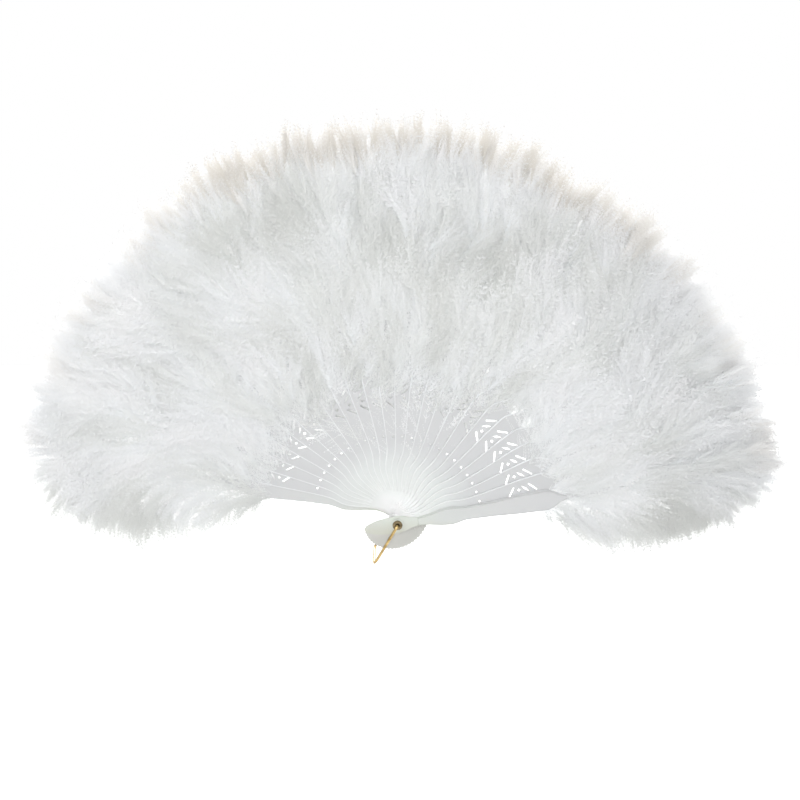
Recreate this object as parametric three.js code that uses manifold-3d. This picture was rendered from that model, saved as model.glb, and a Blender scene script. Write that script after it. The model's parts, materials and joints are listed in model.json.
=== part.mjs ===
// A folding feather fan, spread open.
// Pierced plastic staves turn on a hollow rivet between two plain guards. Each stave carries one feather
// plume and its length of the linking ribbon, and a wire loop for a cord hooks into both ends of the rivet.
// Millimetres, +Z up. The rivet lies along Y, the fan faces -Y, and the origin is on the rivet, mid stack.
import * as THREE from "three";
import { mergeVertices } from "three/addons/utils/BufferGeometryUtils.js";
import Module from "manifold-3d";

const wasm = await Module();
wasm.setup();

// The fan as a whole
const STAVE_COUNT = 26; // the two guards included
const SPREAD = THREE.MathUtils.degToRad(160); // between the guards' centre lines
const STAVE_THICK = 0.8;
const LAYER_GAP = 0.3; // air between neighbouring staves
const FIT_GAP = 0.3; // clearance round the rivet, under its lips and beside glued feathers

// Stave outline, from the tail lobe below the rivet to the rib under the feathers
const TAIL_LENGTH = 20.5;
const HEAD_HALF = 5.4; // half width at the rivet
const WAIST_LENGTH = 12.5; // rivet to waist
const WAIST_HALF = 2.6;
const PETAL_RISE = 20; // waist to the widest place of the petal
const PETAL_HALF = 5.6;
const PETAL_FALL = 10; // petal to neck
const NECK_HALF = 4;
const BLADE_RISE = 48; // neck to the widest place of the blade
const BLADE_HALF = 6.6;
const BLADE_FALL = 13; // blade to rib
const RIB_HALF = 1.5;
const RIB_LENGTH = 26;

// Piercing of the blade, on its centre line; places are measured from the neck
const DOT_FROM_NECK = 9;
const DOT_RADIUS = 0.8;
const INNER_SLIT_FROM_NECK = 29;
const EYE_FROM_NECK = 33.5; // a small lozenge between the inner slit and the leaf
const EYE_RADIUS = 1.1;
const LEAF_FROM_NECK = 37.5;
const LEAF_LENGTH = 6.5;
const LEAF_WIDTH = 1.5;
const OUTER_SLIT_FROM_NECK = 42;
const SLIT_LENGTH = 6.5;
const SLIT_WIDTH = 1.1;
const HOLE_LEAN = THREE.MathUtils.degToRad(50); // of slits and leaf, from the centre line

// Guards: a stave with no piercing and a raised, chamfered panel on its outer face
const PANEL_RISE = 1.3;
const PANEL_INSET = 0.5;
const PANEL_CHAMFER = 0.5;

// Feather plumes
const PLUME_FROM_BLADE = -2; // where the vane begins, from the widest place of the blade
const PLUME_LENGTH = 144;
const PLUME_HALF = 26;
const OPEN_HALF = 38; // half width of a guard's vane on its open side
const CREST_RISE = 12; // how much longer the plumes are round the top of the fan
const CREST_MIDDLE = THREE.MathUtils.degToRad(-10); // from the top, towards the right
const CREST_SPREAD = THREE.MathUtils.degToRad(37); // from its middle to either end
const CREST_FADE = THREE.MathUtils.degToRad(16);
const CREST_POWER = 4; // higher brings the added length nearer to the tips
const PLUME_FLARE = 9; // how far the outermost plumes curl away from the stack at their tips
const WING_RISE = 9; // how far a vane's left edge stands forward and its right edge back
const WING_EASE = 30; // from the stave's end to where a vane is fully tilted
const QUILL_HALF = 0.8;
const VANE_PEAK = 0.6; // share of the length where the vane is widest
const VANE_FULLNESS = 0.45; // lower is fuller towards the two ends
const TUFT_COUNT = 5; // tufts of barbs along each side
const TUFT_NOTCH = 5; // depth of the gaps between tufts
const TUFT_SWEEP = 14; // how far a tuft's end lies ahead of its root on the quill

// Ribbon that links the staves
const RIBBON_FROM_RIB = 8; // along the rib
const RIBBON_WIDTH = 6;
const RIBBON_THICK = 0.4;

// Hollow rivet with a rolled lip and a plastic washer at each end
const RIVET_RADIUS = 2.1;
const RIVET_BORE = 1.3;
const LIP_RADIUS = 3;
const LIP_THICK = 0.5;
const WASHER_RADIUS = 4;
const WASHER_THICK = 0.5;

// Wire loop
const WIRE_RADIUS = 0.85;
const LOOP_REACH = 28.5; // rivet axis to the middle of the cross wire
const LOOP_CORNER = 5;
const HOOK_CORNER = 1.6;
const HOOK_LENGTH = 5; // straight wire inside the rivet
const LOOP_SIDE_GAP = 0.5; // between a leg of the loop and the rivet's lip
const LOOP_SWING = THREE.MathUtils.degToRad(30); // from hanging straight down, towards -X

// Faceting
const CURVE_STEPS = 3; // per stretch of the stave outline
const TAIL_STEPS = 4;
const DOT_SIDES = 5;
const EYE_SIDES = 4;
const PIVOT_SIDES = 10;
const TURNED_SIDES = 16;
const WIRE_SIDES = 8;
const WIRE_STEPS = 3; // per stretch of the loop

// Places that follow from the sizes
const PITCH = STAVE_THICK + LAYER_GAP;
const STEP_ANGLE = SPREAD / (STAVE_COUNT - 1);
const PETAL_AT = WAIST_LENGTH + PETAL_RISE;
const NECK_AT = PETAL_AT + PETAL_FALL;
const BLADE_AT = NECK_AT + BLADE_RISE;
const RIB_AT = BLADE_AT + BLADE_FALL;
const STAVE_END = RIB_AT + RIB_LENGTH;
const PLUME_AT = BLADE_AT + PLUME_FROM_BLADE;
const PLUME_TIP = PLUME_AT + PLUME_LENGTH;
const HALF_STACK = ((STAVE_COUNT - 1) * PITCH + STAVE_THICK) / 2;
const WASHER_AT = HALF_STACK + FIT_GAP; // inner face
const LIP_AT = WASHER_AT + WASHER_THICK + FIT_GAP; // inner face
const RIVET_END = LIP_AT + LIP_THICK;
const LEG_AT = RIVET_END + LOOP_SIDE_GAP + WIRE_RADIUS;

// Widths of the stave at the places where its outline turns
const STAVE_BENDS = [
  [0, HEAD_HALF],
  [WAIST_LENGTH, WAIST_HALF],
  [PETAL_AT, PETAL_HALF],
  [NECK_AT, NECK_HALF],
  [BLADE_AT, BLADE_HALF],
  [RIB_AT, RIB_HALF],
];

const plastic = new THREE.MeshStandardMaterial({ color: 0xeef0ee, roughness: 0.42, metalness: 0 });
const feather = new THREE.MeshStandardMaterial({ color: 0xf1f2f1, roughness: 0.95, metalness: 0 });
const brass = new THREE.MeshStandardMaterial({ color: 0xc9a45c, roughness: 0.3, metalness: 1 });

// A closed geometry as a solid that can be joined and cut.
function solidOf(geometry) {
  const bare = geometry.clone();
  bare.deleteAttribute("normal");
  bare.deleteAttribute("uv");
  const merged = mergeVertices(bare);
  const mesh = new wasm.Mesh({
    numProp: 3,
    vertProperties: merged.attributes.position.array,
    triVerts: new Uint32Array(merged.index.array),
  });
  return new wasm.Manifold(mesh);
}

// A solid back as a geometry.
function geometryOf(solid) {
  const mesh = solid.getMesh();
  const geometry = new THREE.BufferGeometry();
  geometry.setAttribute("position", new THREE.BufferAttribute(mesh.vertProperties, 3));
  geometry.setIndex(new THREE.BufferAttribute(mesh.triVerts, 1));
  geometry.computeVertexNormals();
  return geometry;
}

// A closed skin through rings of as many points each; a ring runs counter-clockwise seen from the next one.
// Its faces are split from even points to odd points of the next ring, to keep a thin skin evenly thick.
function loft(rings, startCap, endCap) {
  const size = rings[0].length;
  const last = (rings.length - 1) * size;
  const index = [];
  for (let ring = 0; ring < last; ring += size) {
    for (let point = 0; point < size; point++) {
      const next = (point + 1) % size;
      if (point % 2) {
        index.push(ring + point, ring + next, ring + size + point);
        index.push(ring + next, ring + size + next, ring + size + point);
      } else {
        index.push(ring + point, ring + next, ring + size + next);
        index.push(ring + point, ring + size + next, ring + size + point);
      }
    }
  }
  for (const [a, b, c] of startCap) {
    index.push(a, c, b);
  }
  for (const [a, b, c] of endCap) {
    index.push(last + a, last + b, last + c);
  }
  const geometry = new THREE.BufferGeometry().setFromPoints(rings.flat());
  geometry.setIndex(index);
  return geometry;
}

// Half width of a stave at a distance along it: a rounded tail, then stretches that ease between the bends.
function staveHalf(at) {
  if (at <= 0) {
    return HEAD_HALF * Math.sqrt(Math.max(0, 1 - (at / TAIL_LENGTH) ** 2));
  }
  if (at >= RIB_AT) {
    return RIB_HALF;
  }
  const bend = STAVE_BENDS.findIndex(([place]) => at < place);
  const [from, halfFrom] = STAVE_BENDS[bend - 1];
  const [to, halfTo] = STAVE_BENDS[bend];
  return THREE.MathUtils.lerp(halfFrom, halfTo, THREE.MathUtils.smoothstep(at, from, to));
}

// Distances along the stave at which its outline has a point.
function staveStations() {
  const places = [];
  for (let step = 0; step <= TAIL_STEPS; step++) {
    places.push(-TAIL_LENGTH * Math.cos((step / TAIL_STEPS) * (Math.PI / 2)));
  }
  for (let bend = 1; bend < STAVE_BENDS.length; bend++) {
    const [from] = STAVE_BENDS[bend - 1];
    const [to] = STAVE_BENDS[bend];
    for (let step = 1; step <= CURVE_STEPS; step++) {
      places.push(THREE.MathUtils.lerp(from, to, step / CURVE_STEPS));
    }
  }
  return places;
}

// Outline of a stave between two distances along it, grown by a margin; it runs counter-clockwise.
function staveOutline(from, to, margin) {
  const inside = staveStations().filter((at) => at > from && at < to);
  const places = [from, ...inside, to];
  const right = places.map((at) => new THREE.Vector2(staveHalf(at) + margin, at));
  const left = right.map((point) => new THREE.Vector2(-point.x, point.y)).reverse();
  const tailIsPoint = right[0].x === 0;
  return tailIsPoint ? [...right, ...left.slice(0, -1)] : [...right, ...left];
}

// A round hole.
function dot(x, y, radius, sides) {
  const points = [];
  for (let side = 0; side < sides; side++) {
    const angle = (side / sides) * 2 * Math.PI;
    points.push(new THREE.Vector2(x + radius * Math.cos(angle), y + radius * Math.sin(angle)));
  }
  return new THREE.Path(points);
}

// A long hole that leans to the left of the centre line; corners are shares of its half length and half width.
function slot(y, length, width, lean, corners) {
  const along = new THREE.Vector2(-Math.sin(lean), Math.cos(lean)).multiplyScalar(length / 2);
  const across = new THREE.Vector2(Math.cos(lean), Math.sin(lean)).multiplyScalar(width / 2);
  const points = corners.map(([ahead, aside]) => {
    const point = new THREE.Vector2(0, y).addScaledVector(along, ahead);
    return point.addScaledVector(across, aside);
  });
  return new THREE.Path(points);
}

function slit(y, lean) {
  const corners = [[-1, -1], [-1, 1], [1, 1], [1, -1]];
  return slot(y, SLIT_LENGTH, SLIT_WIDTH, lean, corners);
}

function leaf(y, lean) {
  const corners = [[-1, 0], [0, 1], [1, 0], [0, -1]];
  return slot(y, LEAF_LENGTH, LEAF_WIDTH, lean, corners);
}

// Holes of the pierced blade: a dot, a slit that leans left, an eye, then a leaf and a slit that lean right.
function piercing() {
  return [
    dot(0, NECK_AT + DOT_FROM_NECK, DOT_RADIUS, DOT_SIDES),
    slit(NECK_AT + INNER_SLIT_FROM_NECK, HOLE_LEAN),
    dot(0, NECK_AT + EYE_FROM_NECK, EYE_RADIUS, EYE_SIDES),
    leaf(NECK_AT + LEAF_FROM_NECK, -HOLE_LEAN),
    slit(NECK_AT + OUTER_SLIT_FROM_NECK, -HOLE_LEAN),
  ];
}

// A flat outline, with its y along the stave, as a plate centred on the stave's layer.
function plate(outline, holes, thick) {
  const shape = new THREE.Shape(outline);
  shape.holes.push(...holes);
  const geometry = new THREE.ExtrudeGeometry(shape, { depth: thick, bevelEnabled: false });
  return geometry.rotateX(Math.PI / 2).translate(0, thick / 2, 0);
}

function stavePlate(holes) {
  const pivot = dot(0, 0, RIVET_RADIUS + FIT_GAP, PIVOT_SIDES);
  return plate(staveOutline(-TAIL_LENGTH, STAVE_END, 0), [pivot, ...holes], STAVE_THICK);
}

// A guard whose panel looks towards -Y.
function guardGeometry() {
  const outer = STAVE_THICK / 2 + PANEL_RISE;
  const rim = staveOutline(WAIST_LENGTH, RIB_AT, -PANEL_INSET);
  const inset = PANEL_INSET + PANEL_CHAMFER;
  const top = staveOutline(WAIST_LENGTH + PANEL_CHAMFER, RIB_AT - PANEL_CHAMFER, -inset);
  const ring = (outline, height) => outline.map((point) => new THREE.Vector3(point.x, -height, point.y));
  const rings = [ring(rim, 0), ring(rim, outer - PANEL_CHAMFER), ring(top, outer)];
  const startCap = THREE.ShapeUtils.triangulateShape(rim, []);
  const endCap = THREE.ShapeUtils.triangulateShape(top, []);
  const panel = loft(rings, startCap, endCap);
  return geometryOf(solidOf(stavePlate([])).add(solidOf(panel)));
}

// How far the outermost plumes have left their layer at a distance along the stave.
function flare(at) {
  return PLUME_FLARE * Math.max(0, (at - STAVE_END) / (PLUME_TIP - STAVE_END)) ** 2;
}

// How far a vane of full width has its edges off its middle at a distance along the stave.
function wingRise(at) {
  return WING_RISE * THREE.MathUtils.smoothstep(at, STAVE_END, STAVE_END + WING_EASE);
}

// How much longer a plume is, by its angle from the top of the fan towards the right.
function crest(angle) {
  return CREST_RISE * THREE.MathUtils.smoothstep(CREST_SPREAD - Math.abs(angle - CREST_MIDDLE), 0, CREST_FADE);
}

// Half width of the vane at a share of its length.
function vaneHalf(share) {
  const rise = share ** (Math.log(0.5) / Math.log(VANE_PEAK));
  return PLUME_HALF * Math.sin(Math.PI * rise) ** VANE_FULLNESS;
}

// The vane of one plume; side is -1 for the front of the stack, 1 for the back, and added is its share of the
// crest. The front guard's right edge and the back guard's left one are open, and there the barbs run on straight.
function vaneGeometry(side, added) {
  const rightReach = side === -1 ? OPEN_HALF / PLUME_HALF : 1;
  const leftReach = side === 1 ? OPEN_HALF / PLUME_HALF : 1;
  const rings = [];
  const ringCount = 2 * TUFT_COUNT;
  for (let ring = 0; ring <= ringCount; ring++) {
    const share = ring / ringCount;
    const notch = ring % 2 ? 0 : TUFT_NOTCH;
    const half = Math.max(QUILL_HALF, vaneHalf(share) - notch);
    const quillAt = PLUME_AT + share * PLUME_LENGTH + added * share ** CREST_POWER;
    const edgeAt = quillAt + TUFT_SWEEP * Math.sin(Math.PI * share);
    const thick = STAVE_THICK + (2 * flare(quillAt)) / (STAVE_COUNT - 1);
    const rise = (wingRise(edgeAt) * half) / PLUME_HALF;
    const quill = new THREE.Vector3(0, side * flare(quillAt), quillAt);
    const right = new THREE.Vector3(half, side * flare(edgeAt) + rise, edgeAt);
    const left = new THREE.Vector3(-half, side * flare(edgeAt) - rise, edgeAt);
    rings.push([
      new THREE.Vector3().lerpVectors(quill, right, rightReach),
      new THREE.Vector3(0, quill.y + thick / 2, quillAt),
      new THREE.Vector3().lerpVectors(quill, left, leftReach),
      new THREE.Vector3(0, quill.y - thick / 2, quillAt),
    ]);
  }
  const cap = [[0, 1, 2], [0, 2, 3]];
  return loft(rings, cap, cap);
}

// Ribbon from the middle of a stave to the middle of the next one behind it.
function ribbonGeometry() {
  const at = RIB_AT + RIBBON_FROM_RIB;
  const span = 2 * at * Math.sin(STEP_ANGLE / 2);
  const ribbon = new THREE.BoxGeometry(span, RIBBON_THICK, RIBBON_WIDTH);
  return ribbon.translate(-span / 2, 0, 0).rotateY(-STEP_ANGLE / 2).translate(0, 0, at);
}

// A plume is glued to both edges of the stave's rib, so the stave's outline is cut out of it.
function plumeGeometry(side, added, linked) {
  const seat = plate(staveOutline(NECK_AT, STAVE_END + FIT_GAP, FIT_GAP), [], 2 * STAVE_THICK);
  let plume = solidOf(vaneGeometry(side, added));
  if (linked) {
    plume = plume.add(solidOf(ribbonGeometry()));
  }
  return geometryOf(plume.subtract(solidOf(seat)));
}

function rivetGeometry() {
  const half = [
    [RIVET_RADIUS, LIP_AT],
    [LIP_RADIUS, LIP_AT],
    [LIP_RADIUS, RIVET_END - LIP_THICK / 2],
    [LIP_RADIUS - LIP_THICK / 2, RIVET_END],
    [RIVET_BORE, RIVET_END],
  ].map(([radius, y]) => new THREE.Vector2(radius, y));
  const otherHalf = half.map((point) => new THREE.Vector2(point.x, -point.y)).reverse();
  return new THREE.LatheGeometry([...otherHalf, ...half, otherHalf[0]], TURNED_SIDES);
}

// A washer under one lip of the rivet; side is -1 for the front, 1 for the back.
function washerGeometry(side) {
  const inner = RIVET_RADIUS + FIT_GAP;
  const profile = [
    new THREE.Vector2(inner, 0),
    new THREE.Vector2(WASHER_RADIUS, 0),
    new THREE.Vector2(WASHER_RADIUS, WASHER_THICK),
    new THREE.Vector2(inner, WASHER_THICK),
    new THREE.Vector2(inner, 0),
  ];
  const low = side > 0 ? WASHER_AT : -WASHER_AT - WASHER_THICK;
  return new THREE.LatheGeometry(profile, TURNED_SIDES).translate(0, low, 0);
}

// The loop's centre line in the plane of Y and Z; its steps are shared evenly among its stretches.
class WireLine extends THREE.Curve {
  constructor(stretches) {
    super();
    this.stretches = stretches;
  }
  getPoint(share, target = new THREE.Vector3()) {
    const place = share * this.stretches.length;
    const number = Math.min(Math.floor(place), this.stretches.length - 1);
    const point = this.stretches[number].getPoint(place - number);
    return target.set(0, point.x, point.y);
  }
  getUtoTmapping(share) {
    return share;
  }
}

function loopGeometry() {
  const at = (y, z) => new THREE.Vector2(y, z);
  const straight = (y1, z1, y2, z2) => new THREE.LineCurve(at(y1, z1), at(y2, z2));
  const quarter = (y, z, radius, from, turns) =>
    new THREE.EllipseCurve(y, z, radius, radius, from, from + (turns * Math.PI) / 2, turns < 0);
  const hook = LEG_AT - HOOK_CORNER;
  const corner = LEG_AT - LOOP_CORNER;
  const line = new WireLine([
    straight(-hook + HOOK_LENGTH, 0, -hook, 0),
    quarter(-hook, -HOOK_CORNER, HOOK_CORNER, Math.PI / 2, 1),
    straight(-LEG_AT, -HOOK_CORNER, -LEG_AT, LOOP_CORNER - LOOP_REACH),
    quarter(-corner, LOOP_CORNER - LOOP_REACH, LOOP_CORNER, Math.PI, 1),
    straight(-corner, -LOOP_REACH, corner, -LOOP_REACH),
    quarter(corner, LOOP_CORNER - LOOP_REACH, LOOP_CORNER, 1.5 * Math.PI, 1),
    straight(LEG_AT, LOOP_CORNER - LOOP_REACH, LEG_AT, -HOOK_CORNER),
    quarter(hook, -HOOK_CORNER, HOOK_CORNER, 0, 1),
    straight(hook, 0, hook - HOOK_LENGTH, 0),
  ]);
  const section = new THREE.Shape(dot(0, 0, WIRE_RADIUS, WIRE_SIDES).getPoints());
  return new THREE.ExtrudeGeometry(section, { steps: WIRE_STEPS * line.stretches.length, extrudePath: line });
}

function named(name, geometry, material) {
  const mesh = new THREE.Mesh(geometry, material.clone());
  mesh.name = name;
  return mesh;
}

const fan = new THREE.Group();

for (let place = 0; place < STAVE_COUNT; place++) {
  const isFront = place === 0;
  const isBack = place === STAVE_COUNT - 1;
  const number = String(place).padStart(2, "0");
  const label = isFront ? "front_guard" : isBack ? "back_guard" : `stave_${number}`;
  const side = (2 * place) / (STAVE_COUNT - 1) - 1;
  const angle = SPREAD / 2 - place * STEP_ANGLE;
  const layer = new THREE.Group();
  layer.position.y = (place - (STAVE_COUNT - 1) / 2) * PITCH;
  layer.rotation.y = angle;
  const stave = isFront || isBack ? guardGeometry() : stavePlate(piercing());
  if (isBack) {
    stave.rotateZ(Math.PI);
  }
  layer.add(named(label, stave, plastic));
  layer.add(named(`${label}_plume`, plumeGeometry(side, crest(angle), !isBack), feather));
  fan.add(layer);
}

fan.add(named("rivet", rivetGeometry(), brass));
fan.add(named("front_washer", washerGeometry(-1), plastic));
fan.add(named("back_washer", washerGeometry(1), plastic));

const loop = named("wire_loop", loopGeometry(), brass);
loop.rotation.y = LOOP_SWING;
fan.add(loop);

export default fan;
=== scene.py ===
"""A folding fan of white marabou down on pierced plastic staves. Metres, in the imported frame's own axes."""
import json
import math
import random
from collections import namedtuple

import bpy
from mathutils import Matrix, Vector, noise


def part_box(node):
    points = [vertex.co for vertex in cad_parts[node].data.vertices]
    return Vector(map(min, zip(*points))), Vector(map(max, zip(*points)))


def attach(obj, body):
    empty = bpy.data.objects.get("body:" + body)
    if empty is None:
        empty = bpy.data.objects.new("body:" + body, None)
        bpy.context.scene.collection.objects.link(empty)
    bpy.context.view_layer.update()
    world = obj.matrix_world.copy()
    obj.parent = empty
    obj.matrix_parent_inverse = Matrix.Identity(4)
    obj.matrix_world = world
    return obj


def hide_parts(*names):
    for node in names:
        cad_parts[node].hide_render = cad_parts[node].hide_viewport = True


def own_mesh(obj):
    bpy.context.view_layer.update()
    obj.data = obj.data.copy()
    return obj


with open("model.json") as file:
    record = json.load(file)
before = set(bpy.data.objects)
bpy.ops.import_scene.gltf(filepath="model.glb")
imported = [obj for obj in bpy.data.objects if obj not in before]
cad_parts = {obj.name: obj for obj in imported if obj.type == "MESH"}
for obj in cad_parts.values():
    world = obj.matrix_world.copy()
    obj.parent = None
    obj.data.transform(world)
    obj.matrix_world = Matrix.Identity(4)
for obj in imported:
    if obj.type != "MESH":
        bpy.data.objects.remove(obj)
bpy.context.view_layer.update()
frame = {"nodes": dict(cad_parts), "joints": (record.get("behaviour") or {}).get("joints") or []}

MM = 0.001
SEED = 26
SEED_STEP = 100

# The view: from the front and a little above, aimed between the rivet and the rim.
CAMERA_LENS = 75.0
CAMERA_SENSOR = 36.0
CAMERA_DISTANCE = 1.0
CAMERA_RISE = math.radians(15.0)
CAMERA_TARGET = Vector((0.0015, 0.0, 0.0741))

# The floor lies well below the fan, which hangs in the air, and glows more towards its borders.
FLOOR_AT = -0.30
FLOOR_SIDE = 3.2
FLOOR_NEAR = 0.4
FLOOR_GLOW = (0.6, 1.0)

# Light: a soft sky and large lamps before and behind (place, width, watts), turned to the fan's middle.
SKY_STRENGTH = 0.2
LAMP_TARGET = Vector((0, 0, 0.1))
LAMPS = {
    "front_lamp": ((0.0, -1.13, 0.38), 0.3, 8.6),
    "key_lamp": ((-1.1, -1.2, 1.5), 1.2, 10.0),
    "back_lamp": ((0.3, 1.9, 0.9), 1.3, 26.0),
}

# Staves from the right guard in front to the left one behind.
STAVE_NAMES = ("front_guard", *("stave_%02d" % k for k in range(1, 25)), "back_guard")
STAVE_GAPS = len(STAVE_NAMES) - 1

# A stave's half widths along its length, as the solids have them, and the bead along its two edges.
STAVE_BENDS = (
    (0 * MM, 5.4 * MM), (12.5 * MM, 2.6 * MM), (32.5 * MM, 5.6 * MM), (42.5 * MM, 4.0 * MM),
    (90.5 * MM, 6.6 * MM), (103.5 * MM, 1.5 * MM),
)
STAVE_END = 129.5 * MM
BEAD_FROM = 17 * MM
BEAD_TO = 103.5 * MM
BEAD_STEPS = 30
BEAD_RADIUS = 0.5 * MM
BEAD_SUNK = 0.5
BEAD_SIDES = 6

# How noise is spread over a range, as most of it lies about its middle.
NOISE_RANGE = (0.3, 0.7)

# Plastic: the waves in its painted light, where that painted light ends, where the painted shade on the
# tails begins below the rivet, its satin grain and the share of light that comes through.
FLOW_SIZE = 9 * MM
FLOW_WAVE = 12 * MM
TINT_END = 120 * MM
TAIL_SHADE_FADE = (3 * MM, -4 * MM)
GRAIN_SIZE = 0.9 * MM
GRAIN_DEPTH = 0.1 * MM
GRAIN_STRENGTH = 0.06
PLASTIC_GLOSS = (0.34, 0.5)
PLASTIC_THROUGH = 0.15

# Brass: the sizes of its browner patches and its draw marks.
PATCH_SIZE = 3 * MM
MARK_SIZE = 0.35 * MM
BRASS_GLOSS = (0.22, 0.38)

# How a plume lies: its turn about the rivet, its layer, and its side, from -1 in front to 1 behind. The
# outer ones curl off the stack, and each tilts on its quill, left edge forward.
Plume = namedtuple("Plume", "turn layer side")
PLUME_TIP = 232.5 * MM
PLUME_HALF = 26 * MM
PLUME_FLARE = 9 * MM
WING_RISE = 9 * MM
WING_EASE = 30 * MM

# Tufts of down on one stave's quills, evenly strewn over its share of the fan. near, far: between which
# distances from the rivet. barb: length of the barbs. fan: degrees to either side over which a tuft's barbs
# spread. stand: how far tufts may stand off the plume's plane. lock: how many lie together in one lock.
Tuft = namedtuple("Tuft", "count near far barb fan stand lock")
TUFTS = (
    Tuft(26, 90 * MM, 106 * MM, 11 * MM, 75.0, 2.0 * MM, 1),
    Tuft(110, 100 * MM, 196 * MM, 24 * MM, 24.0, 5.4 * MM, 1),
    Tuft(46, 192 * MM, 215 * MM, 16 * MM, 22.0, 3.5 * MM, 1),
    Tuft(42, 211 * MM, 219 * MM, 14 * MM, 8.0, 2.5 * MM, 3),
)
# The locks that hang in a row below each guard, where all tufts are shorter and greyer.
HEM = Tuft(48, 98 * MM, 219 * MM, 25 * MM, 6.0, 2.5 * MM, 3)
HEM_SHORTER = 0.4
HEM_GREYER = 0.6
# Tufts lie flatter towards the front and the back of the stack.
OUTSIDE_FLATTER = 0.6
TUFT_LENGTH = 5.2 * MM
TUFT_TURN = math.radians(18.0)
TUFT_CHANCE = 0.22
OVERLAP = 1.15
GOLDEN = (math.sqrt(5) - 1) / 2
# Tufts swirl together inside the rim.
SWIRL_TURN = math.radians(75.0)
SWIRL_SIZE = 34 * MM
SWIRL_FADE = 34 * MM

# Each stave's quills, and the least reach with which a point bears barbs.
QUILL_STEPS = 10
QUILL_FROM = 90 * MM
QUILL_LEANS = (-0.3, 0.0, 0.3)
QUILL_TONE = 0.5
BARE_REACH = 1 * MM

# One barb, 1 long: how far its shaft thins to the tip, between which places its barbules grow, how they
# sway round it, twist and shorten to the tip, and their range of lengths.
SHAFT_TAPER = 0.7
BARBULES_FROM = 0.04
BARBULES_TO = 0.97
BARBULE_SWAY = 0.6
BARBULE_TWIST = 0.4
BARBULE_TAPER = 0.5
BARBULE_LENGTHS = (0.6, 1.25)
# How the barbs of a tuft differ in length, lift off the plume and roll, and how far their tips curl.
BARB_LENGTHS = (0.7, 1.08)
BARB_LIFTS = (-0.3, 1.0)
BARB_ROLL = 0.2
BARB_CURL = 0.15
# The down's map, clear of its borders: one way along a barb, the other over its tone and its width.
MAP_BORDER = 0.01
MAP_ALONG = 0.98
MAP_TONES = 0.95
MAP_WIDTH = 0.03

# The rim's roots: plumes are longer round the top, a little left of its middle, and shorter past the
# guards.
RIM = 219 * MM
RIM_WAVE = 6 * MM
RIM_WAVE_SIZE = math.radians(4.5)
RIM_WAVE_ROW = 7
CREST_RISE = 6.5 * MM
CREST_MIDDLE = math.radians(-10.0)
CREST_SPREAD = math.radians(37.0)
CREST_FADE = math.radians(16.0)
LEFT_RISE = 4 * MM
LEFT_BEND = (math.radians(-40.0), math.radians(-70.0))
CORNER_DROP = 24 * MM
CORNER_FALL = 15 * MM
CORNER_EASE = 62 * MM
CORNER_TURN = math.radians(60.0)
CORNER_DENSER = 1.2
# The down begins nearer to the rivet at the left and top than at the right, and nearer still behind the
# middle staves.
INNER_LEFT = 80 * MM
INNER_RIGHT = 94 * MM
INNER_BEND = (math.radians(22.0), math.radians(45.0))
INNER_WAVE = 12 * MM
INNER_WAVE_SIZE = math.radians(14.0)
INNER_BACK = 8 * MM
BACK_HANG = 30 * MM
BACK_SPREAD = math.radians(40.0)
BACK_FADE = math.radians(10.0)

# Tones run from grey at 0 to white, then to yellowed at 1. The outermost barbs are a little yellowed, and the
# rest is greyer or whiter in patches of painted shade and painted light, and whiter at both sides by painted
# light.
TONE_MIDDLE = 0.4
TONE_WHITE = 0.75
PAINTED_PATCH_WIDTH = math.radians(7.0)
PAINTED_PATCH_LENGTH = 34 * MM
PAINTED_PATCH_SWING = 0.95
TONE_CHANCE = 0.14
YELLOW_BAND = 31 * MM
SIDE_PAINTED_LIGHT = 0.35
SIDE_CLEANER = 0.55
SIDE_BEND = (math.radians(25.0), math.radians(60.0))
DOWN_THROUGH = 0.3


def linear(code):
    """An sRGB hex colour as linear red, green, blue and alpha."""
    parts = [int(code[i:i + 2], 16) / 255 for i in (1, 3, 5)]
    return [p / 12.92 if p <= 0.04045 else ((p + 0.055) / 1.055) ** 2.4 for p in parts] + [1.0]


def add(tree, kind, links=None, stops=(), **settings):
    """Adds a node with its settings. An input takes a node's first output, another output or a value; stops
    are a colour ramp's places and hex colours."""
    made = tree.nodes.new(kind)
    for name, value in settings.items():
        setattr(made, name, value)
    for name, value in (links or {}).items():
        if isinstance(value, bpy.types.Node):
            value = value.outputs[0]
        if isinstance(value, bpy.types.NodeSocket):
            tree.links.new(value, made.inputs[name])
        else:
            made.inputs[name].default_value = value
    if stops:
        ramp = made.color_ramp.elements
        ramp.remove(ramp[1])
        ramp[0].position = stops[0][0]
        ramp[0].color = linear(stops[0][1])
        for place, code in stops[1:]:
            ramp.new(place).color = linear(code)
    return made


def new_material(name):
    """A material with an empty node tree, and that tree."""
    material = bpy.data.materials.new(name)
    material.use_nodes = True
    material.node_tree.nodes.clear()
    return material, material.node_tree


def new_tree(name, sizes, counts):
    """A Geometry Nodes tree that takes lines, named sizes and counts and a material, and its inputs."""
    tree = bpy.data.node_groups.new(name, "GeometryNodeTree")
    sockets = tree.interface
    sockets.new_socket("Geometry", in_out="INPUT", socket_type="NodeSocketGeometry")
    for label, value in sizes.items():
        sockets.new_socket(label, in_out="INPUT", socket_type="NodeSocketFloat").default_value = value
    for label, value in counts.items():
        sockets.new_socket(label, in_out="INPUT", socket_type="NodeSocketInt").default_value = value
    sockets.new_socket("Material", in_out="INPUT", socket_type="NodeSocketMaterial")
    sockets.new_socket("Geometry", in_out="OUTPUT", socket_type="NodeSocketGeometry")
    return tree, add(tree, "NodeGroupInput").outputs


# Materials

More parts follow.
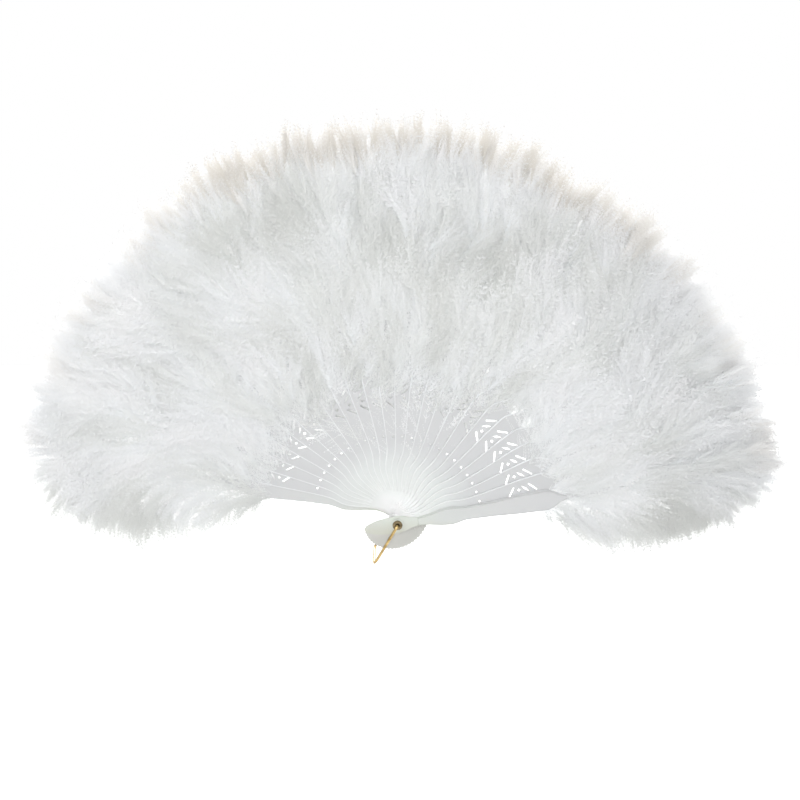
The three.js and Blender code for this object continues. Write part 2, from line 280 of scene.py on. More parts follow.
def marabou_down():
    """Marabou down, washed and bleached: dull, soft white, greyer at the roots, yellowed along the rim, with
    painted shade and painted light in patches carried by the map's tone.
    """
    material, tree = new_material("marabou_down")
    place = add(tree, "ShaderNodeUVMap", uv_map="OFBake")
    parts = add(tree, "ShaderNodeSeparateXYZ", {"Vector": place})
    along_tint = add(tree, "ShaderNodeValToRGB", {"Fac": parts.outputs["X"]}, stops=(
        (0.0, "#F6F7F7"), (0.4, "#FCFCFC"), (1.0, "#FFFFFF")))
    # The tone ramp: its greyer stops give painted shade, its whitest stops painted light, and its end the
    # yellowed rim.
    strand_tint = add(tree, "ShaderNodeValToRGB", {"Fac": parts.outputs["Y"]}, stops=(
        (0.0, "#EEEFED"), (0.3, "#F7F8F7"), (0.6, "#FCFDFE"), (0.78, "#FFFFFF"), (1.0, "#EAE6DF")))
    colour = add(tree, "ShaderNodeMix", {0: 1.0, 6: along_tint, 7: strand_tint},
                 data_type="RGBA", blend_type="MULTIPLY").outputs[2]
    facing = add(tree, "ShaderNodeBsdfPrincipled", {
        "Base Color": colour, "Roughness": 0.85, "Specular IOR Level": 0.2, "IOR": 1.54,
    })
    through = add(tree, "ShaderNodeBsdfTranslucent", {"Color": colour})
    both = add(tree, "ShaderNodeMixShader", {0: DOWN_THROUGH, 1: facing, 2: through})
    add(tree, "ShaderNodeOutputMaterial", {"Surface": both})
    return material


def moulded_polystyrene(name, stops, tail_shade):
    """Polystyrene, injection moulded: satin and milky, with painted light that makes it whiter towards the
    rivet, where more staves lie behind, and painted shade that makes it greyer on the tails below it. Its
    grain is drawn coarse enough to show."""
    material, tree = new_material(name)
    place = add(tree, "ShaderNodeTexCoord").outputs["Object"]
    level = add(tree, "ShaderNodeVectorMath", {0: place, 1: (1, 0, 1)}, operation="MULTIPLY")
    radius = add(tree, "ShaderNodeVectorMath", {0: level}, operation="LENGTH").outputs["Value"]
    flow = add(tree, "ShaderNodeTexNoise", {
        "Vector": place, "Scale": 1 / FLOW_SIZE, "Detail": 3.0, "Roughness": 0.55,
    })
    wavy = add(tree, "ShaderNodeMath", {0: flow, 1: FLOW_WAVE, 2: radius}, operation="MULTIPLY_ADD")
    # Painted light: the colour turns whiter towards the rivet, along the radius.
    share = add(tree, "ShaderNodeMapRange", {"Value": wavy, "From Min": 0.0, "From Max": TINT_END})
    colour = add(tree, "ShaderNodeValToRGB", {"Fac": share}, stops=stops)
    # Painted shade: below the rivet the colour turns to the tails' greyer shade colour.
    height = add(tree, "ShaderNodeSeparateXYZ", {"Vector": place}).outputs["Z"]
    painted_tail_shade = add(tree, "ShaderNodeMapRange", {
        "Value": height, "From Min": TAIL_SHADE_FADE[0], "From Max": TAIL_SHADE_FADE[1],
    })
    colour = add(tree, "ShaderNodeMix", {0: painted_tail_shade, 6: colour, 7: linear(tail_shade)},
                 data_type="RGBA").outputs[2]
    grain = add(tree, "ShaderNodeTexNoise", {"Vector": place, "Scale": 1 / GRAIN_SIZE, "Detail": 2.0})
    gloss = add(tree, "ShaderNodeMapRange", {
        "Value": grain, "From Min": NOISE_RANGE[0], "From Max": NOISE_RANGE[1],
        "To Min": PLASTIC_GLOSS[0], "To Max": PLASTIC_GLOSS[1],
    })
    bump = add(tree, "ShaderNodeBump", {
        "Height": grain, "Strength": GRAIN_STRENGTH, "Distance": GRAIN_DEPTH,
    })
    skin = add(tree, "ShaderNodeBsdfPrincipled", {
        "Base Color": colour, "Roughness": gloss, "IOR": 1.59, "Normal": bump,
    })
    glow = add(tree, "ShaderNodeBsdfTranslucent", {"Color": colour})
    both = add(tree, "ShaderNodeMixShader", {0: PLASTIC_THROUGH, 1: skin, 2: glow})
    add(tree, "ShaderNodeOutputMaterial", {"Surface": both})
    return material


def drawn_brass(name, bright, dull):
    """Brass wire, drawn and lightly lacquered: warm yellow metal with browner patches, and with faint draw
    marks, which are drawn coarse enough to show."""
    material, tree = new_material(name)
    place = add(tree, "ShaderNodeTexCoord").outputs["Object"]
    patches = add(tree, "ShaderNodeTexNoise", {"Vector": place, "Scale": 1 / PATCH_SIZE, "Detail": 4.0})
    colour = add(tree, "ShaderNodeValToRGB", {"Fac": patches}, stops=((0.32, dull), (0.62, bright)))
    marks = add(tree, "ShaderNodeTexNoise", {"Vector": place, "Scale": 1 / MARK_SIZE, "Detail": 2.0})
    gloss = add(tree, "ShaderNodeMapRange", {
        "Value": marks, "From Min": NOISE_RANGE[0], "From Max": NOISE_RANGE[1],
        "To Min": BRASS_GLOSS[0], "To Max": BRASS_GLOSS[1],
    })
    metal = add(tree, "ShaderNodeBsdfPrincipled", {
        "Base Color": colour, "Metallic": 1.0, "Roughness": gloss,
    })
    add(tree, "ShaderNodeOutputMaterial", {"Surface": metal})
    return material


# Where the staves lie, and pieces made from lines

def stave_spread():
    """The angle between the guards."""
    fold = next(joint for joint in frame["joints"] if joint["name"] == "fan_fold")
    return math.radians(fold["range_deg"][1] - fold["range_deg"][0])


def stave_places():
    """Each stave's name, turn about the rivet and layer, from the front guard to the back guard."""
    inner = (STAVE_NAMES[1], STAVE_NAMES[-2])
    first, last = (sum(corner[1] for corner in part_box(name)) / 2 for name in inner)
    pitch = (last - first) / (STAVE_GAPS - 2)
    return [
        (name, stave_spread() * (0.5 - k / STAVE_GAPS), first + pitch * (k - 1))
        for k, name in enumerate(STAVE_NAMES)
    ]


def stave_axes(turn):
    """The ways along and across a stave, from its turn about the rivet."""
    along = Vector((math.sin(turn), 0, math.cos(turn)))
    across = Vector((math.cos(turn), 0, -math.sin(turn)))
    return along, across


def line_mesh(name, rows):
    """A mesh of lines. A row holds a point, whether a line joins it to the point before, and its values."""
    mesh = bpy.data.meshes.new(name)
    edges = [(n - 1, n) for n, (_, joined, _) in enumerate(rows) if joined]
    mesh.from_pydata([point for point, _, _ in rows], edges, [])
    for column, first in rows[0][2].items():
        values = [row[2][column] for row in rows]
        if isinstance(first, Vector):
            flat = [part for value in values for part in value]
            mesh.attributes.new(column, "FLOAT_VECTOR", "POINT").data.foreach_set("vector", flat)
        else:
            mesh.attributes.new(column, "FLOAT", "POINT").data.foreach_set("value", values)
    return mesh


def dressed(name, lines, tree, values):
    """Lines that a Geometry Nodes tree has dressed, as a plain mesh with its finish, map and normals."""
    holder = bpy.data.objects.new(lines.name, lines)
    dress = holder.modifiers.new("dress", "NODES")
    dress.node_group = tree
    inputs = {s.name: s.identifier for s in tree.interface.items_tree if s.in_out == "INPUT"}
    for label, value in values.items():
        dress[inputs[label]] = value
    bpy.context.scene.collection.objects.link(holder)
    depsgraph = bpy.context.evaluated_depsgraph_get()
    mesh = bpy.data.meshes.new_from_object(holder.evaluated_get(depsgraph), depsgraph=depsgraph)
    bpy.data.objects.remove(holder)
    loose = [a.name for a in mesh.attributes if not a.is_internal and not a.is_required]
    for spare in set(loose) - {"OFBake", "custom_normal"}:
        mesh.attributes.remove(mesh.attributes[spare])
    finish = next(material for material in mesh.materials if material)
    mesh.materials.clear()
    mesh.materials.append(finish)
    mesh.name = name
    piece = bpy.data.objects.new(name, mesh)
    bpy.context.scene.collection.objects.link(piece)
    return piece


# Feathers

def eased(share):
    """A share of a way, held between 0 and 1 and eased at both ends."""
    share = min(max(share, 0), 1)
    return share * share * (3 - 2 * share)


def rim_at(around):
    """Distance from the rivet of the outermost tufts between the guards, at an angle from the fan's top."""
    crest = CREST_RISE * eased((CREST_SPREAD - abs(around - CREST_MIDDLE)) / CREST_FADE)
    left = LEFT_RISE * eased((around - LEFT_BEND[0]) / (LEFT_BEND[1] - LEFT_BEND[0]))
    lobes = RIM_WAVE * noise.noise(Vector((around / RIM_WAVE_SIZE, RIM_WAVE_ROW, 0)))
    return RIM + crest + left + lobes


def inner_at(around):
    """Distance from the rivet at which the down begins, at an angle from the fan's top."""
    start, end = INNER_BEND
    wave = INNER_WAVE * noise.noise(Vector((around / INNER_WAVE_SIZE, 0, 0)))
    return INNER_LEFT + (INNER_RIGHT - INNER_LEFT) * eased((around - start) / (end - start)) + wave


def corner_at(at):
    """The angle by which the down hangs past a guard, at a distance from the rivet on a plain fan."""
    return CORNER_DROP / at * math.sqrt(min(max((at - QUILL_FROM) / CORNER_EASE, 0), 1))


def strewn_tufts(open_side, pitch, chance):
    """Each tuft of one stave: its kind, its angle from the stave and distance from the rivet on a plain
    fan, and to which side its lock sways, from -1 to 1."""
    share_wide = OVERLAP * pitch / 2
    corner_wide = corner_at(QUILL_FROM + CORNER_EASE / 2)
    low = -share_wide - (corner_wide if open_side < 0 else 0)
    high = share_wide + (corner_wide if open_side > 0 else 0)
    denser = CORNER_DENSER if open_side else 1
    for kind in TUFTS:
        count = round(kind.count * (high - low) / (2 * share_wide) * denser)
        for n in range(count):
            share = (n + chance.random()) / count
            at = math.sqrt(kind.near ** 2 + share * (kind.far ** 2 - kind.near ** 2))
            angle = low + (high - low) * (n // kind.lock * GOLDEN % 1)
            if n % kind.lock == 0:
                sway = chance.uniform(-1, 1)
            if abs(angle) < share_wide + corner_at(at):
                yield kind, angle, at, sway
    for n in range(HEM.count * abs(open_side)):
        if n % HEM.lock == 0:
            sway = chance.uniform(-1, 1)
        share = (n - n % HEM.lock + chance.random()) / HEM.count
        at = HEM.near + (HEM.far - HEM.near) * share
        yield HEM, open_side * corner_at(at), at, sway


def plume_plane(plume, at, angle):
    """A point on a plume, the way across its plane there and the way out of its back, from the distance to
    the rivet and the angle from the stave."""
    along, across = stave_axes(plume.turn)
    back = Vector((0, 1, 0))
    ahead = at * math.cos(angle)
    past = max(0, ahead - STAVE_END)
    slope = WING_RISE / PLUME_HALF * eased(past / WING_EASE)
    curl = plume.side * PLUME_FLARE * (past / (PLUME_TIP - STAVE_END)) ** 2
    tilted = across + back * slope
    point = along * ahead + tilted * (at * math.sin(angle)) + back * (plume.layer + curl)
    return point, tilted, (back - across * slope).normalized()


def tuft_tone(around, at, rim, below_guard, behind, chance):
    """A tuft's place in the range of tones, with painted shade and painted light in patches and painted light
    at both sides.
    """
    painted_light_shade_patch = noise.noise(Vector((around / PAINTED_PATCH_WIDTH, at / PAINTED_PATCH_LENGTH, behind)))
    aside = eased((abs(around) - SIDE_BEND[0]) / (SIDE_BEND[1] - SIDE_BEND[0]))
    # The patch noise is painted shade and painted light, and the side term is painted light.
    tone = TONE_MIDDLE + SIDE_PAINTED_LIGHT * aside + PAINTED_PATCH_SWING * painted_light_shade_patch + chance.uniform(-1, 1) * TONE_CHANCE
    tone -= HEM_GREYER * min(below_guard, 1)
    tone = TONE_WHITE * min(max(tone, 0), 1)
    yellow = (1 - SIDE_CLEANER * aside) * max(0, 1 - below_guard)
    return tone + (1 - tone) * yellow * eased((at - rim + YELLOW_BAND) / YELLOW_BAND)


def quill_rows(plume, pitch):
    """The points along a stave's bare quills."""
    none = Vector()
    for lean in QUILL_LEANS:
        for step in range(QUILL_STEPS):
            at = QUILL_FROM + (RIM - QUILL_FROM) * step / (QUILL_STEPS - 1)
            angle = lean * pitch * step / (QUILL_STEPS - 1)
            point, _, out = plume_plane(plume, at, angle)
            yield point, step > 0, {
                "spread": none, "rise": none, "bend": none, "face": out, "reach": 0.0, "tone": QUILL_TONE,
            }


def tuft_rows(plume, open_side, spread, chance):
    """Both ends of every tuft on a stave, with what its barbs need. Every second tuft lies on the back."""
    along, _ = stave_axes(plume.turn)
    flatter = 1 - OUTSIDE_FLATTER * abs(plume.side)
    tufts = strewn_tufts(open_side, spread / STAVE_GAPS, chance)
    for n, (kind, angle, plain, sway) in enumerate(tufts):
        behind = n % 2
        around = plume.turn + angle
        hang = INNER_BACK + BACK_HANG * eased((BACK_SPREAD - abs(around)) / BACK_FADE)
        inner = inner_at(around) - hang * behind
        below_guard = max(0, abs(around) - spread / 2) * plain / CORNER_DROP
        rim = rim_at(around) - CORNER_FALL * below_guard ** 2
        at = inner + (plain - QUILL_FROM) * (rim - inner) / (RIM - QUILL_FROM)
        point, tilted, out = plume_plane(plume, at, angle)
        face = out if behind else -out
        point += face * (kind.stand * chance.random() * flatter)
        free = (1 - eased((at - rim + SWIRL_FADE) / SWIRL_FADE)) * max(0, 1 - below_guard)
        swirl = noise.noise(point / SWIRL_SIZE)
        heading = angle + TUFT_TURN * sway + SWIRL_TURN * free * swirl
        heading += math.copysign(CORNER_TURN * below_guard, angle)
        ahead = along * math.cos(heading) + tilted * math.sin(heading)
        beside = tilted * math.cos(heading) - along * math.sin(heading)
        shorter = 1 - HEM_SHORTER * min(below_guard, 1)
        reach = kind.barb * (1 + chance.uniform(-1, 1) * TUFT_CHANCE) * shorter
        tone = tuft_tone(around, at, rim, below_guard, behind, chance)
        fan = math.radians(kind.fan)
        values = {
            "spread": beside * (reach * math.sin(fan)),
            "rise": ahead * (reach * math.cos(fan / 2)),
            "bend": ahead * (reach * BARB_CURL),
            "face": face,
            "reach": reach,
            "tone": tone,
        }
        yield point - ahead * (TUFT_LENGTH / 2), False, values
        yield point + ahead * (TUFT_LENGTH / 2), True, values


def barb_shape(tree, given, seeds):
    """One barb, 1 long: a flat shaft that tapers, and two rows of slim barbules that lean to its tip."""
    place = add(tree, "ShaderNodeSeparateXYZ", {"Vector": add(tree, "GeometryNodeInputPosition")})
    shaft = add(tree, "GeometryNodeMeshGrid", {
        "Size X": 1.0, "Size Y": 1.0, "Vertices X": 3, "Vertices Y": 2,
    })
    along = add(tree, "ShaderNodeMath", {0: place.outputs["X"], 1: 0.5}, operation="ADD")
    shaft = add(tree, "GeometryNodeStoreNamedAttribute", {
        "Geometry": shaft, "Name": "along", "Value": along,
    })
    edge = add(tree, "ShaderNodeMath", {0: place.outputs["Y"], 1: 0.5}, operation="ADD")
    shaft = add(tree, "GeometryNodeStoreNamedAttribute", {
        "Geometry": shaft, "Name": "edge", "Value": edge,
    })
    taper = add(tree, "ShaderNodeMath", {0: along, 1: -SHAFT_TAPER, 2: 1.0}, operation="MULTIPLY_ADD")
    width = add(tree, "ShaderNodeMath", {0: taper, 1: given["Shaft width"]}, operation="MULTIPLY")
    beside = add(tree, "ShaderNodeMath", {0: place.outputs["Y"], 1: width}, operation="MULTIPLY")
    thinned = add(tree, "ShaderNodeCombineXYZ", {"X": along, "Y": beside})
    shaft = add(tree, "GeometryNodeSetPosition", {"Geometry": shaft, "Position": thinned})

    # A barbule is a slim triangle, 1 long from its root.
    corners = add(tree, "GeometryNodeMeshCircle", {"Vertices": 3, "Radius": 1.0}, fill_type="NGON")
    sliver = add(tree, "GeometryNodeTransform", {
        "Geometry": corners, "Translation": (1 / 3, 0, 0), "Scale": (2 / 3, 1, 1),
    })
    row = add(tree, "GeometryNodeMeshLine", {
        "Count": given["Barbule rows"], "Start Location": (BARBULES_FROM, 0, 0),
        "Offset": (BARBULES_TO, 0, 0),
    }, mode="END_POINTS", count_mode="TOTAL")
    pairs = add(tree, "GeometryNodeDuplicateElements", {"Geometry": row, "Amount": 2}, domain="POINT")
    roots = add(tree, "GeometryNodeStoreNamedAttribute", {
        "Geometry": pairs, "Name": "along", "Value": place.outputs["X"],
    })
    sway = add(tree, "FunctionNodeRandomValue", {
        2: -BARBULE_SWAY, 3: BARBULE_SWAY, "Seed": seeds[0]}).outputs[1]
    round_shaft = add(tree, "ShaderNodeMath", {
        0: pairs.outputs["Duplicate Index"], 1: math.pi, 2: sway}, operation="MULTIPLY_ADD")
    out = add(tree, "ShaderNodeMath", {0: given["Barbule angle"]}, operation="SINE")
    ahead = add(tree, "ShaderNodeMath", {0: given["Barbule angle"]}, operation="COSINE")
    level = add(tree, "ShaderNodeMath", {0: round_shaft}, operation="COSINE")
    level = add(tree, "ShaderNodeMath", {0: level, 1: out}, operation="MULTIPLY")
    upright = add(tree, "ShaderNodeMath", {0: round_shaft}, operation="SINE")
    upright = add(tree, "ShaderNodeMath", {0: upright, 1: out}, operation="MULTIPLY")
    way = add(tree, "ShaderNodeCombineXYZ", {"X": ahead, "Y": level, "Z": upright})
    twist = add(tree, "FunctionNodeRandomValue", {
        0: (-BARBULE_TWIST, -BARBULE_TWIST, 1 - BARBULE_TWIST),
        1: (BARBULE_TWIST, BARBULE_TWIST, 1 + BARBULE_TWIST), "Seed": seeds[1],
    }, data_type="FLOAT_VECTOR")
    turned = add(tree, "FunctionNodeAxesToRotation", {"Primary Axis": way, "Secondary Axis": twist},
                 primary_axis="X", secondary_axis="Z")
    shorter = add(tree, "ShaderNodeMath", {
        0: place.outputs["X"], 1: -BARBULE_TAPER, 2: 1.0}, operation="MULTIPLY_ADD")
    chance = add(tree, "FunctionNodeRandomValue", {
        2: BARBULE_LENGTHS[0], 3: BARBULE_LENGTHS[1], "Seed": seeds[2]}).outputs[1]
    length = add(tree, "ShaderNodeMath", {0: shorter, 1: chance}, operation="MULTIPLY")
    length = add(tree, "ShaderNodeMath", {0: length, 1: given["Barbule length"]}, operation="MULTIPLY")
    size = add(tree, "ShaderNodeCombineXYZ", {"X": length, "Y": given["Barbule width"], "Z": 1.0})
    barbules = add(tree, "GeometryNodeInstanceOnPoints", {
        "Points": roots, "Instance": sliver, "Rotation": turned, "Scale": size,
    })
    barbules = add(tree, "GeometryNodeRealizeInstances", {"Geometry": barbules})
    barb = add(tree, "GeometryNodeJoinGeometry", {0: barbules})
    tree.links.new(shaft.outputs[0], barb.inputs[0])
    return barb


def down_tree():
    """Geometry Nodes that dress quills with downy barbs, then draw the barbs together and ruffle them."""
    tree, given = new_tree("down_on_quills", {
        "Barb spacing": 1.75 * MM, "Looseness": 0.13, "Fluff": 0.3,
        "Shaft width": 0.012, "Barbule width": 0.013, "Barbule length": 0.14,
        "Barbule angle": math.radians(38),
        "Clump size": 18 * MM, "Clump shift": 7.0 * MM, "Ruffle size": 5 * MM, "Ruffle shift": 1.5 * MM,
        "Quill radius": 0.22 * MM,
    }, {"Strands": 4, "Barbule rows": 9, "Seed": SEED})
    seeds = [
        add(tree, "ShaderNodeMath", {0: given["Seed"], 1: float(n)}, operation="ADD") for n in range(8)
    ]
    barb = barb_shape(tree, given, seeds)
    reach, along, edge, tone = (
        add(tree, "GeometryNodeInputNamedAttribute", {"Name": name}, data_type="FLOAT")
        for name in ("reach", "along", "edge", "tone")
    )
    spread, rise, bend, face, lie = (
        add(tree, "GeometryNodeInputNamedAttribute", {"Name": name}, data_type="FLOAT_VECTOR")
        for name in ("spread", "rise", "bend", "face", "lie")
    )
    place = add(tree, "GeometryNodeInputPosition")

    # Barbs at even steps along each tuft, some at each step, that fan out to both sides.
    quills = add(tree, "GeometryNodeMeshToCurve", {"Mesh": given["Geometry"]})
    steps = add(tree, "GeometryNodeResampleCurve", {
        "Curve": quills, "Length": given["Barb spacing"]}, mode="LENGTH")
    feathered = add(tree, "ShaderNodeMath", {0: reach, 1: BARE_REACH}, operation="GREATER_THAN")
    many = add(tree, "GeometryNodeDuplicateElements", {
        "Geometry": steps, "Selection": feathered, "Amount": given["Strands"]}, domain="POINT")
    fan = add(tree, "FunctionNodeRandomValue", {2: -1.0, 3: 1.0, "Seed": seeds[3]}).outputs[1]
    aim = add(tree, "ShaderNodeVectorMath", {0: spread, 1: fan, 2: rise}, operation="MULTIPLY_ADD")
    lift = add(tree, "FunctionNodeRandomValue", {
        2: BARB_LIFTS[0], 3: BARB_LIFTS[1], "Seed": seeds[4]}).outputs[1]
    lift = add(tree, "ShaderNodeMath", {0: lift, 1: given["Fluff"]}, operation="MULTIPLY")
    lift = add(tree, "ShaderNodeMath", {0: lift, 1: reach}, operation="MULTIPLY")
    aim = add(tree, "ShaderNodeVectorMath", {0: face, 1: lift, 2: aim}, operation="MULTIPLY_ADD")
    stray = add(tree, "FunctionNodeRandomValue", {
        0: (-1, -1, -1), 1: (1, 1, 1), "Seed": seeds[5]}, data_type="FLOAT_VECTOR")
    loose = add(tree, "ShaderNodeMath", {0: given["Looseness"], 1: reach}, operation="MULTIPLY")
    aim = add(tree, "ShaderNodeVectorMath", {0: stray, 1: loose, 2: aim}, operation="MULTIPLY_ADD")
    length = add(tree, "ShaderNodeVectorMath", {0: aim}, operation="LENGTH").outputs["Value"]
    chance = add(tree, "FunctionNodeRandomValue", {
        2: BARB_LENGTHS[0], 3: BARB_LENGTHS[1], "Seed": seeds[6]}).outputs[1]
    length = add(tree, "ShaderNodeMath", {0: length, 1: chance}, operation="MULTIPLY")
    roll = add(tree, "FunctionNodeRandomValue", {
        0: (-BARB_ROLL, -BARB_ROLL, -BARB_ROLL), 1: (BARB_ROLL, BARB_ROLL, BARB_ROLL), "Seed": seeds[7],
    }, data_type="FLOAT_VECTOR")
    flat = add(tree, "ShaderNodeVectorMath", {0: face, 1: roll}, operation="ADD")
    roots = add(tree, "GeometryNodeStoreNamedAttribute", {
        "Geometry": many, "Name": "lie", "Value": flat}, data_type="FLOAT_VECTOR")
    turned = add(tree, "FunctionNodeAxesToRotation", {"Primary Axis": aim, "Secondary Axis": flat},
                 primary_axis="X", secondary_axis="Z")
    barbs = add(tree, "GeometryNodeInstanceOnPoints", {
        "Points": roots, "Instance": barb, "Rotation": turned, "Scale": length,
    })
    barbs = add(tree, "GeometryNodeRealizeInstances", {"Geometry": barbs})

    # The curl to the tip, then two sizes of noise.
    squared = add(tree, "ShaderNodeMath", {0: along, 1: along}, operation="MULTIPLY")
    moved = add(tree, "ShaderNodeVectorMath", {0: bend, 1: squared}, operation="MULTIPLY")
    for size, shift in (("Clump size", "Clump shift"), ("Ruffle size", "Ruffle shift")):
        fineness = add(tree, "ShaderNodeMath", {0: 1.0, 1: given[size]}, operation="DIVIDE")
        swirl = add(tree, "ShaderNodeTexNoise", {
            "Vector": place, "Scale": fineness, "Detail": 1.0}).outputs["Color"]
        swirl = add(tree, "ShaderNodeVectorMath", {0: swirl, 1: (0.5, 0.5, 0.5)}, operation="SUBTRACT")
        pull = add(tree, "ShaderNodeMath", {0: given[shift], 1: along}, operation="MULTIPLY")
        moved = add(tree, "ShaderNodeVectorMath", {
            0: swirl, 1: pull, 2: moved}, operation="MULTIPLY_ADD")
    barbs = add(tree, "GeometryNodeSetPosition", {"Geometry": barbs, "Offset": moved})

    # The quills themselves, thin tubes of three sides.
    ring = add(tree, "GeometryNodeCurvePrimitiveCircle", {
        "Resolution": 3, "Radius": given["Quill radius"],
    })
    stems = add(tree, "GeometryNodeCurveToMesh", {"Curve": quills, "Profile Curve": ring})
    normal = add(tree, "GeometryNodeInputNormal")
    stems = add(tree, "GeometryNodeStoreNamedAttribute", {
        "Geometry": stems, "Name": "lie", "Value": normal}, data_type="FLOAT_VECTOR")

    # Barbs whose faces turn away from the way they lie are flipped.
    facing = add(tree, "ShaderNodeVectorMath", {0: normal, 1: lie}, operation="DOT_PRODUCT")
    turned_off = add(tree, "ShaderNodeMath", {0: facing.outputs["Value"], 1: 0.0}, operation="LESS_THAN")
    barbs = add(tree, "GeometryNodeFlipFaces", {"Mesh": barbs, "Selection": turned_off})
    whole = add(tree, "GeometryNodeJoinGeometry", {0: stems})
    tree.links.new(barbs.outputs[0], whole.inputs[0])

    # Down is lit as one soft surface, not barb by barb.
    soft_normal = add(tree, "ShaderNodeVectorMath", {0: lie}, operation="NORMALIZE")
    soft = add(tree, "GeometryNodeSetMeshNormal", {
        "Mesh": whole, "Custom Normal": soft_normal}, mode="FREE", domain="POINT")
    map_x = add(tree, "ShaderNodeMath", {0: along, 1: MAP_ALONG, 2: MAP_BORDER}, operation="MULTIPLY_ADD")
    map_y = add(tree, "ShaderNodeMath", {0: tone, 1: MAP_TONES, 2: MAP_BORDER}, operation="MULTIPLY_ADD")
    map_y = add(tree, "ShaderNodeMath", {0: edge, 1: MAP_WIDTH, 2: map_y}, operation="MULTIPLY_ADD")
    map_place = add(tree, "ShaderNodeCombineXYZ", {"X": map_x, "Y": map_y})
    mapped = add(tree, "GeometryNodeStoreNamedAttribute", {
        "Geometry": soft, "Name": "OFBake", "Value": map_place}, data_type="FLOAT2", domain="CORNER")
    real = add(tree, "GeometryNodeRealizeInstances", {"Geometry": mapped})
    finished = add(tree, "GeometryNodeSetMaterial", {"Geometry": real, "Material": given["Material"]})
    add(tree, "NodeGroupOutput", {0: finished})
    return tree


def make_plumes(down):
    """One piece of down for each stave, in place of its plain plume."""
    tree = down_tree()
    spread = stave_spread()
    for k, (name, turn, layer) in enumerate(stave_places()):
        plume = Plume(turn, layer, 2 * k / STAVE_GAPS - 1)
        open_side = -round(plume.side) if name.endswith("_guard") else 0
        rows = [*quill_rows(plume, spread / STAVE_GAPS)]
        rows += tuft_rows(plume, open_side, spread, random.Random(SEED + k))
        quills = line_mesh(name + "_quills", rows)
        piece = dressed(name + "_down", quills, tree, {"Seed": SEED + SEED_STEP * k, "Material": down})
        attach(piece, name)
        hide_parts(name + "_plume")
        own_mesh(piece)


# Beads along the staves' edges

def half_width(at):
    """A stave's half width at a distance from the rivet."""
    for (start, first), (end, last) in zip(STAVE_BENDS, STAVE_BENDS[1:]):
        if at <= end:
            return first + (last - first) * eased((at - start) / (end - start))
    return STAVE_BENDS[-1][1]


def edge_rows(turn, layer):
    """The points along both edges of a stave, where its beads run."""
    along, across = stave_axes(turn)
    for side in (-1, 1):
        for step in range(BEAD_STEPS + 1):
            at = BEAD_FROM + (BEAD_TO - BEAD_FROM) * step / BEAD_STEPS
            out = side * (half_width(at) - BEAD_SUNK * BEAD_RADIUS)
            yield along * at + across * out + Vector((0, layer, 0)), step > 0, {}


def bead_tree():
    """Geometry Nodes that draw a round bead along every line they are given."""
    tree, given = new_tree("bead_on_edge", {"Bead radius": BEAD_RADIUS}, {"Bead sides": BEAD_SIDES})
    line = add(tree, "GeometryNodeMeshToCurve", {"Mesh": given["Geometry"]})
    ring = add(tree, "GeometryNodeCurvePrimitiveCircle", {
        "Resolution": given["Bead sides"], "Radius": given["Bead radius"],
    })
    bead = add(tree, "GeometryNodeCurveToMesh", {
        "Curve": line, "Profile Curve": ring, "Fill Caps": True,
    })
    smooth = add(tree, "GeometryNodeSetShadeSmooth", {"Geometry": bead})
    real = add(tree, "GeometryNodeRealizeInstances", {"Geometry": smooth})
    finished = add(tree, "GeometryNodeSetMaterial", {"Geometry": real, "Material": given["Material"]})
    add(tree, "NodeGroupOutput", {0: finished})
    return tree


def make_beads(bright):
    """The raised bead along both edges of every pierced stave, in near white plastic that paints a highlight
    along each ridge.
    """
    tree = bead_tree()
    for name, turn, layer in stave_places():
        if name.endswith("_guard"):
            continue
        lines = line_mesh(name + "_edges", [*edge_rows(turn, layer)])
        piece = dressed(name + "_bead", lines, tree, {"Material": bright})
        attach(piece, name)


# Finishes of the carried-over solids

def finish_solids():
    """Gives every carried-over solid its finish."""
    # Both ramps are painted light, white near the rivet and greying outward; each last colour is the painted
    # shade of the tails below the rivet.
    ribs = moulded_polystyrene("moulded_polystyrene_stave", (
        (0.11, "#FFFFFF"), (0.17, "#F8FAF9"), (0.24, "#EBEEEC"), (0.33, "#E4E7E6"), (0.46, "#D6D7D8"),
        (0.8, "#D3D4D5")), "#D5D5D0")
    guards = moulded_polystyrene("moulded_polystyrene_guard", (
        (0.1, "#DFE4DC"), (0.3, "#DADDDB"), (0.6, "#D7D8D8"), (0.8, "#D6D7D8")), "#D5D7CC")
    wire = drawn_brass("drawn_brass_wire", "#D3B981", "#9C804F")
    # The rivet's brass is darker and browner than the wire's.
    pin = drawn_brass("aged_brass_rivet", "#85775B", "#4F4635")
    for name, solid in frame["nodes"].items():
        if name.endswith("_plume"):
            continue
        if name == "wire_loop":
            finish = wire
        elif name == "rivet":
            finish = pin
        else:
            finish = ribs if name.startswith("stave_") else guards
        solid.data.materials.clear()
        solid.data.materials.append(finish)


# Floor, light and camera

def seen_directly(tree):
    """1 where the camera, a gloss or a clear part sees what the tree colours, and 0 for all other light."""
    path = add(tree, "ShaderNodeLightPath")
    seen = add(tree, "ShaderNodeMath", {
        0: path.outputs["Is Camera Ray"], 1: path.outputs["Is Glossy Ray"]}, operation="MAXIMUM")
    return add(tree, "ShaderNodeMath", {
        0: seen, 1: path.outputs["Is Transmission Ray"]}, operation="MAXIMUM")


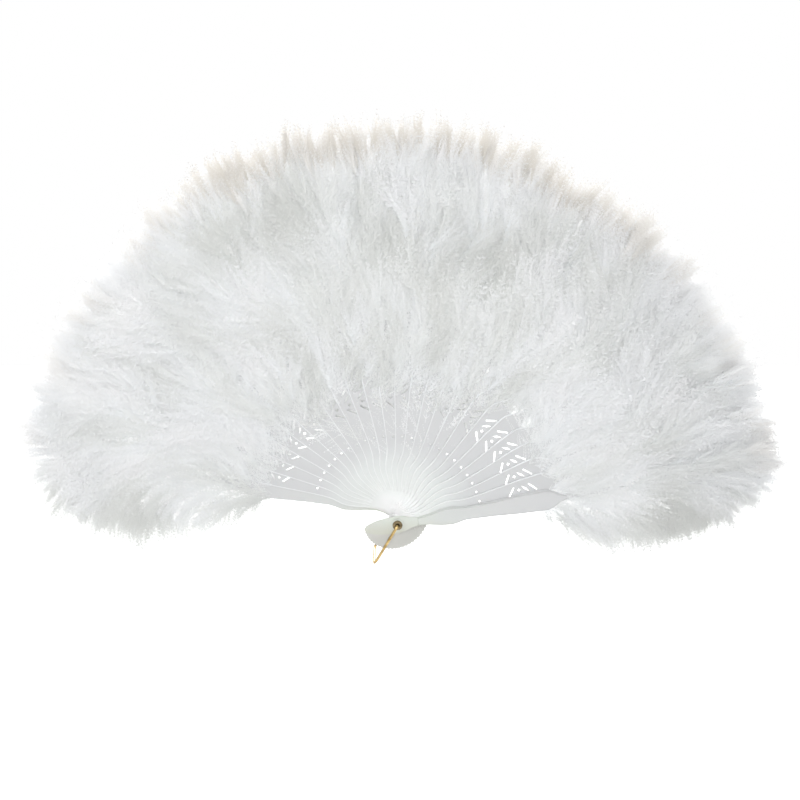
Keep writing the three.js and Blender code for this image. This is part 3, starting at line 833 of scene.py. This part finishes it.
def make_floor():
    """A plain white floor that keeps the shadow and looks white to the camera and in the metal."""
    material, tree = new_material("matt_white_floor")
    place = add(tree, "ShaderNodeTexCoord").outputs["Object"]
    level = add(tree, "ShaderNodeVectorMath", {0: place, 1: (1, 1, 0)}, operation="MULTIPLY")
    away = add(tree, "ShaderNodeVectorMath", {0: level}, operation="LENGTH").outputs["Value"]
    half = FLOOR_SIDE / 2
    fill = add(tree, "ShaderNodeMapRange", {
        "Value": away, "From Min": FLOOR_NEAR, "From Max": half,
        "To Min": FLOOR_GLOW[0], "To Max": FLOOR_GLOW[1],
    })
    glow = add(tree, "ShaderNodeMath", {0: seen_directly(tree), 1: fill}, operation="MULTIPLY")
    paint = add(tree, "ShaderNodeBsdfPrincipled", {
        "Base Color": linear("#EDEDED"), "Roughness": 0.9, "Emission Color": linear("#FFFFFF"),
        "Emission Strength": glow,
    })
    add(tree, "ShaderNodeOutputMaterial", {"Surface": paint})
    mesh = bpy.data.meshes.new("floor")
    corners = [(x * half, y * half, FLOOR_AT) for x, y in ((-1, -1), (1, -1), (1, 1), (-1, 1))]
    mesh.from_pydata(corners, [], [(0, 1, 2, 3)])
    mesh.materials.append(material)
    floor = bpy.data.objects.new("floor", mesh)
    bpy.context.scene.collection.objects.link(floor)


def make_sky():
    """An even sky, white where the camera, the metal or clear parts see it."""
    world = bpy.data.worlds.new("soft_sky")
    bpy.context.scene.world = world
    world.use_nodes = True
    tree = world.node_tree
    tree.nodes.clear()
    strength = add(tree, "ShaderNodeMapRange", {
        "Value": seen_directly(tree), "To Min": SKY_STRENGTH, "To Max": 1.0,
    })
    sky = add(tree, "ShaderNodeBackground", {"Color": linear("#FFFFFF"), "Strength": strength})
    add(tree, "ShaderNodeOutputWorld", {"Surface": sky})


def make_lamps():
    """Large soft lamps, all turned to the middle of the fan."""
    for name, (place, width, watts) in LAMPS.items():
        light = bpy.data.lights.new(name, "AREA")
        light.shape = "DISK"
        light.size = width
        light.energy = watts
        lamp = bpy.data.objects.new(name, light)
        lamp.location = place
        lamp.rotation_euler = (LAMP_TARGET - Vector(place)).to_track_quat("-Z", "Y").to_euler()
        bpy.context.scene.collection.objects.link(lamp)


def make_camera():
    """The camera at the photograph's angle."""
    lens = bpy.data.cameras.new("camera")
    lens.lens = CAMERA_LENS
    lens.sensor_width = CAMERA_SENSOR
    back = Vector((0, -math.cos(CAMERA_RISE), math.sin(CAMERA_RISE)))
    camera = bpy.data.objects.new("camera", lens)
    camera.location = CAMERA_TARGET + back * CAMERA_DISTANCE
    camera.rotation_euler = (-back).to_track_quat("-Z", "Y").to_euler()
    bpy.context.scene.collection.objects.link(camera)
    bpy.context.scene.camera = camera


make_camera()
make_sky()
make_lamps()
make_floor()
finish_solids()
# The beads' near white, brighter than the staves' plastic, is a painted highlight.
make_beads(moulded_polystyrene("moulded_polystyrene_bead", (
    (0.12, "#F8FAF9"), (0.4, "#F8FAFA"), (0.8, "#F4F6F8")), "#F8FAF9"))
make_plumes(marabou_down())

bpy.context.scene.view_settings.view_transform = "Standard"
